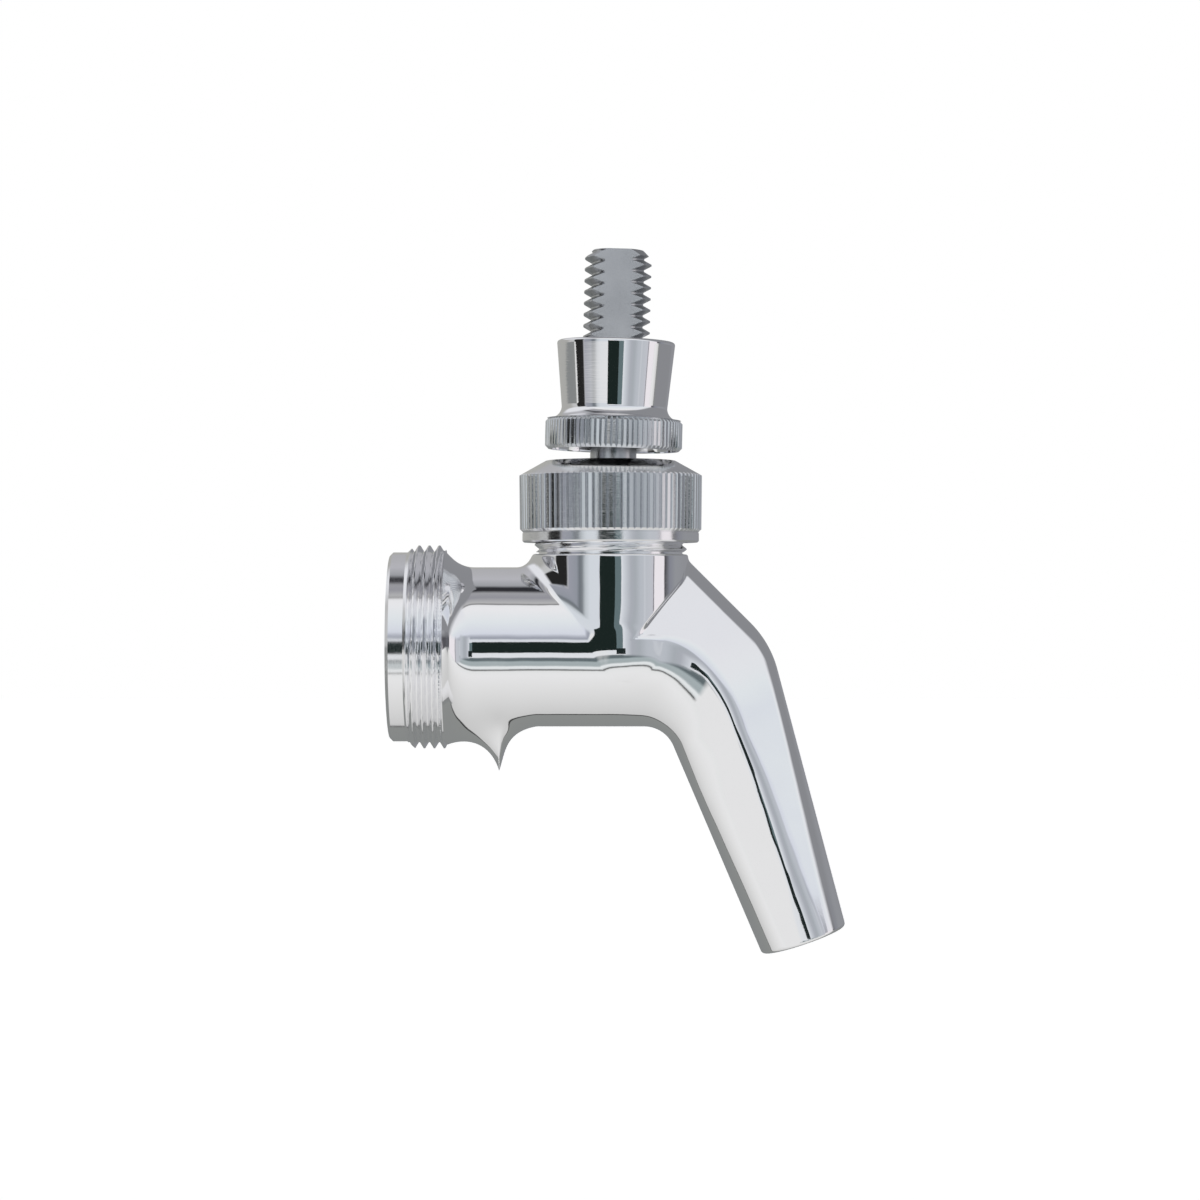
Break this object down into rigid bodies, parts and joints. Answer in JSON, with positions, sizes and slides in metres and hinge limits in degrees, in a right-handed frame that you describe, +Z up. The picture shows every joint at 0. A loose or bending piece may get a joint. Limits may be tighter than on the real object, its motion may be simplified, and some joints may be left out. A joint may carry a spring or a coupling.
{
  "type": "beer faucet",
  "caption": "Forward-sealing draught beer faucet: a bent one-piece steel body, a knurled bonnet, and a ball lever that slides a plunger off its seat behind the spout.",
  "frame": {"origin": "centre of the inlet's rear face, on the axis of the shank socket", "axes": "+X forward along the inlet towards the spout, +Z up along the tower, -Y towards the camera of the picture"},
  "size_m": [0.0639, 0.0286, 0.099],
  "materials": {
    "body_steel": "mirror-polished stainless steel",
    "bonnet_steel": "turned and knurled stainless steel",
    "collar_steel": "polished stainless steel with a knurled band",
    "lever_steel": "machined stainless steel, milled flats",
    "plunger_steel": "turned stainless steel",
    "clip_steel": "spring steel",
    "washer_rubber": "moulded rubber",
    "seal_rubber": "moulded rubber",
    "acetal": "turned white acetal"
  },
  "bodies": {
    "body": {"faucet_body": "body_steel", "coupling_washer": "washer_rubber", "throat_o_ring": "seal_rubber", "bearing_cup": "acetal", "compression_bonnet": "bonnet_steel"},
    "lever_set": {"lever": "lever_steel", "lever_collar": "collar_steel"},
    "plunger_set": {"plunger_shaft": "plunger_steel", "plunger_guide": "acetal", "guide_clip": "clip_steel", "seat_o_ring": "seal_rubber", "seat_screw": "plunger_steel"}
  },
  "joints": [
    {"name": "lever_pivot", "type": "hinge", "parent": "body", "child": "lever_set", "pos_m": [0.031, 0, 0.013], "axis": [0, 1, 0], "range_deg": [0, 18]},
    {"name": "plunger_slide", "type": "slide", "parent": "body", "child": "plunger_set", "axis": [-1, 0, 0], "range_m": [0, 0.004]}
  ],
  "couplings": [
    {"joint": "plunger_slide", "follows": "lever_pivot", "m_per_rad": 0.01273}
  ]
}
